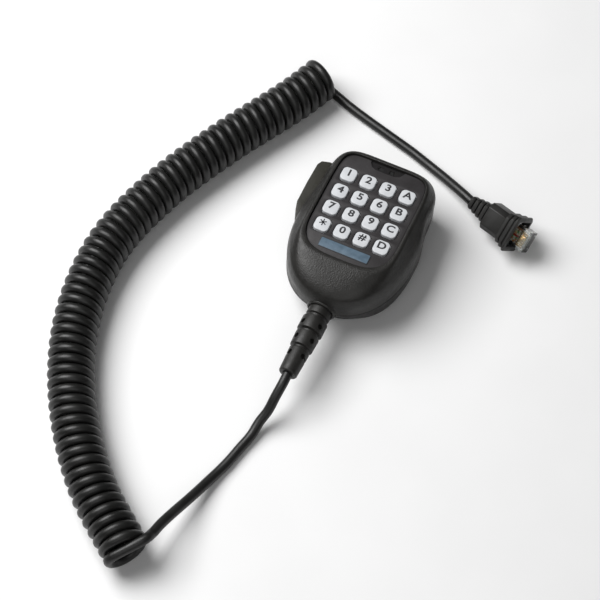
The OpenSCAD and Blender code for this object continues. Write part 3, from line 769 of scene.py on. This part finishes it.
def ptt_bar():
    corners = [(-25.5, 25.4), (-30.5, 25.2), (-34.6, 24), (-35.9, 21.5), (-36.2, 10), (-36, -3),
               (-35, -7), (-32.6, -13.5), (-31, -15.6), (-25.5, -15.6)]
    outline = fillet(corners, 1.1, 6)
    bar = slab("ptt_bar_cap", outline, PTT_LOW, PTT_HIGH, 0.45, PTT, 5)
    for vertex in bar.data.vertices:
        below = PTT_SLOPE_Y - vertex.co.y / MM
        if vertex.co.z > (PTT_HIGH - 2) * MM and below > 0:
            vertex.co.z -= PTT_SLOPE * below * MM
    nub = [[(x, 12 + y, 21 + z) for y, z in circle(1.6, 24)] for x in (-26.5, -24.2)]
    carve(bar, loft("nub", nub), "UNION")
    carve(bar, block((-33.4, -4, 10.5), (-27.2, 21.5, 23.2)))
    carve(bar, rod(1.03, 0, 40, PTT_PIVOT))
    return give(bar, "ptt_bar", ("ptt_button",), 32)


ptt_bar()


# --- strain relief --------------------------------------------------------------------------------
def around_cord(profile, count=96):
    """Closed profile of (radius, distance) points, turned about the cord's exit."""
    return [[(r * math.cos(a), -d, PARTING_Z + r * math.sin(a))
             for a in (2 * math.pi * k / count for k in range(count))] for r, d in profile]


def strain_relief():
    profile = [(2.48, 47.3), (7.6, 47.3), (7.6, 49.8), (5, 49.85), (5, 51.8), (6.1, 52.2), (6.1, 56.4),
               (4.9, 56.8), (4.9, 58.4), (6.6, 58.8), (6.6, 65.9), (4.8, 66.3), (4.8, 67.6), (6.2, 68),
               (5.9, 75.5), (4.4, 75.9), (4.4, 77), (5.3, 77.4), (4.75, 90.4), (4.4, 91), (2.48, 91)]
    relief = loft("cord_strain_relief", around_cord(fillet(profile, 0.3, 3)), BOOT, closed=True)
    pits = []
    for distance, outside in ((63, 6.6), (71.6, 6.05), (80.8, 5.15)):
        for angle in (45, 135, 225, 315):
            turn = Matrix.Rotation(math.radians(angle), 4, "Y")
            pit = rod(1.4, outside - 1.4, outside + 2, count=32)
            pit.data.transform(Matrix.Translation(Vector((0, -distance, PARTING_Z)) * MM) @ turn)
            pits.append(pit)
    carve(relief, joined("pits", pits))
    notches = [block((x - 0.8, -82.3, PARTING_Z - 4), (x + 0.8, -80.9, PARTING_Z + 4)) for x in (-5.1, 5.1)]
    carve(relief, joined("notches", notches))
    return give(relief, stands_for=("strain_relief",), angle=40)


strain_relief()

# --- plug -----------------------------------------------------------------------------------------
PLUG_AT = (41.8, 43.5, 9)
PLUG_ROLL, PLUG_PITCH, PLUG_HEADING = 42, -6, -19.5
PLUG_PLACE = (Matrix.Translation(Vector(PLUG_AT) * MM) @ Matrix.Rotation(math.radians(PLUG_HEADING), 4, "Z")
              @ Matrix.Rotation(math.radians(PLUG_PITCH), 4, "Y")
              @ Matrix.Rotation(math.radians(PLUG_ROLL), 4, "X"))


def at_plug(obj):
    """Moves a mesh drawn along +X to the plug's place."""
    obj.data.transform(PLUG_PLACE)
    return obj


def cut_corner_rect(width, height, cut):
    """Octagonal outline with soft corners, always with the same number of points."""
    w, h = width / 2, height / 2
    return fillet([(w - cut, -h), (w, cut - h), (w, h - cut), (w - cut, h), (cut - w, h), (-w, h - cut),
                   (-w, cut - h), (cut - w, -h)], 0.7, 5)


def across(outline, x):
    return [(x, y, z) for y, z in outline]


def plug_boot():
    octagon = cut_corner_rect(15, 13.4, 2.6)
    rings = []
    for start, radius in ((0, 3.9), (3.1, 4.6), (6.1, 5.2), (9.1, 5.8)):
        for x, less in ((0, 1), (0.2, 0.4), (0.6, 0.07), (1, 0), (2, 0), (2.35, 0.1), (2.5, 0.5), (2.7, 1)):
            rings.append([(start + x, *(Vector(p).normalized() * (radius - less))) for p in octagon])
    for x0, x1, width, height, cut in [
            (12.6, 24, 15, 13.4, 2.6), (24, 26.2, 17, 15, 2.6), (26.2, 27.2, 15.8, 13.8, 2.4),
            (27.2, 29.2, 18.6, 16.2, 2.4), (29.2, 30, 17.4, 15, 2.2), (30, 31.5, 20, 17.4, 2)]:
        outline = cut_corner_rect(width, height, cut)
        edge = min(0.5, (x1 - x0) / 3)
        for x, back in [(x0, edge), (x0 + edge * 0.3, edge * 0.3), (x0 + edge, 0), (x1 - edge, 0),
                        (x1 - edge * 0.3, edge * 0.3), (x1, edge)]:
            rings.append(across(inset(outline, back), x))
    boot = at_plug(loft("plug_strain_boot", rings, BOOT))
    for width, height, centre, start in ((11.78, 9, -0.9, 17.6), (14.6, 13, -0.5, 25)):
        pocket = rounded_rect(width, height, 0.4, 3, (0, centre))
        carve(boot, at_plug(loft("pocket", [across(pocket, x) for x in (start, 50)])))
    return give(boot, stands_for=("plug_boot",), angle=32)


def plug_wires():
    """Eight insulated wires side by side, each in its own colour."""
    white = (0.8, 0.76, 0.66)
    colours = [((0.62, 0.2, 0.03), white), (white, (0.62, 0.2, 0.03)), (white, (0.1, 0.35, 0.12)),
               ((0.55, 0.05, 0.02), (0.55, 0.05, 0.02)), ((0.8, 0.5, 0.25), white),
               ((0.75, 0.7, 0.4), (0.1, 0.35, 0.12)), (white, (0.3, 0.14, 0.06)),
               ((0.3, 0.14, 0.06), (0.3, 0.14, 0.06))]
    wires = []
    for i, (base, stripe) in enumerate(colours):
        y = (i - 3.5) * 1.02
        outline = circle(0.46, 24, (y, -0.2))
        rings = [across(inset(outline, cut), x) for x, cut in
                 [(18.2, 0.12), (18.3, 0), (26, 0), (34.4, 0), (34.5, 0.12)]]
        wire = at_plug(loft(f"plug_wire_{i + 1}", rings, wire_material(f"wire_{i + 1}", base, stripe)))
        stands_for = ("plug_wires",) if i == 0 else ()
        wires.append(give(wire, stands_for=stands_for, angle=60))
    return wires


boot = plug_boot()
wires = plug_wires()


# --- hang button ----------------------------------------------------------------------------------
def hang_button():
    profile = fillet([(1.5, 0), (7.5, 0), (7.5, 2.8), (4, 3), (4, 7.5), (3, 7.5), (3, 12), (1.5, 12)], 0.5, 5)
    rings = [[(r * math.cos(a), r * math.sin(a), z) for a in (2 * math.pi * k / 96 for k in range(96))]
             for r, z in profile]
    button = loft("hang_button_turned", rings, BLACK_STEEL, closed=True)
    return give(button, stands_for=("hang_button",), angle=40)


hang_button()

# --- carried-over parts ---------------------------------------------------------------------------
FINISHES = {
    "keypad_mat": MAT, "circuit_board": LAMINATE, "board_chips": RESIN, "board_screws": STEEL,
    "ptt_pin": STEEL, "ptt_switch": RESIN, "switch_plunger": IVORY, "mic_capsule": STEEL,
    "capsule_holder": MAT, "dust_felt": FELT, "hang_screw": STEEL, "case_screws": BLACK_STEEL,
    "cable_clamp": STEEL, "clamp_screws": STEEL, "cord_socket": IVORY, "cord_core": CORD,
    "plug_body": CLEAR, "plug_contacts": GOLD, "plug_latch": CLEAR}
SOFT_EDGES = {"plug_body": 0.35, "plug_latch": 0.15, "plug_contacts": 0.08, "case_screws": 0.12}

for node, material in FINISHES.items():
    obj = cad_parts[node]
    obj.data.materials.clear()
    obj.data.materials.append(material)
for node, width in SOFT_EDGES.items():
    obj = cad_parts[node]
    weld = obj.modifiers.new("weld", "WELD")
    weld.merge_threshold = 0.001 * MM
    bevel = obj.modifiers.new("bevel", "BEVEL")
    bevel.width, bevel.segments, bevel.limit_method = width * MM, 3, "ANGLE"
    bevel.angle_limit = math.radians(35)


# --- floor and light ------------------------------------------------------------------------------
def floor():
    s = Surface("floor_white", (0.86, 0.86, 0.86), 0.7)
    s.colour(s.noise(60, 2), (0.85, 0.85, 0.85), (0.87, 0.87, 0.87))
    size = 4000
    obj = solid("floor", [(-size, -size, 0), (size, -size, 0), (size, size, 0), (-size, size, 0)],
                [(0, 1, 2, 3)], s.material)


def lamp(name, place, target, size, power):
    """Soft square light at a place in mm."""
    light = bpy.data.lights.new(name, "AREA")
    light.shape, light.size, light.energy = "SQUARE", size * MM, power
    obj = link(name, light)
    obj.location = Vector(place) * MM
    obj.rotation_euler = (Vector(target) - Vector(place)).to_track_quat("-Z", "Y").to_euler()


floor()
lamp("key_light", (-640, -20, 880), (0, -40, 0), 800, 16)
lamp("fill_light", (300, -800, 900), (0, -40, 0), 900, 2.5)
world = bpy.data.worlds.new("studio")
world.use_nodes = True
world.node_tree.nodes["Background"].inputs["Color"].default_value = (1, 1, 1, 1)
world.node_tree.nodes["Background"].inputs["Strength"].default_value = 0.1
bpy.context.scene.world = world
bpy.context.scene.view_settings.view_transform = "Standard"
